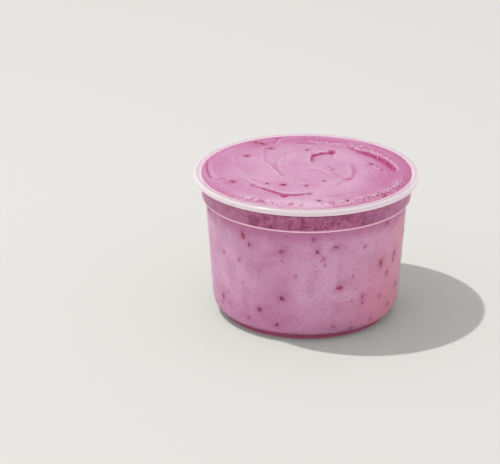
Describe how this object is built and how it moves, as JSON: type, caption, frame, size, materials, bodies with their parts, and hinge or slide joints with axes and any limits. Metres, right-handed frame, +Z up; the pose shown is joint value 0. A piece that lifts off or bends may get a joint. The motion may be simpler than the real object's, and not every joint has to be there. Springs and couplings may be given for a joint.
{
  "type": "acai bowl",
  "caption": "Clear round plastic tub with a stepped collar and a turned-down rim, filled level with its rim with a swirled pink-purple berry blend.",
  "frame": {"origin": "centre of the foot ring, on the surface that the tub stands on", "axes": "+Z up along the tub's axis, -Y towards the side that the picture shows, +X to its right"},
  "size_m": [0.117, 0.117, 0.077],
  "materials": {
    "tub": "clear, slightly milky polypropylene, milkier at the rim",
    "acai": "moist frozen berry blend, pink-purple with dark red flecks of berry skin"
  },
  "bodies": {
    "root": {"tub": "tub", "acai": "acai"}
  },
  "joints": []
}
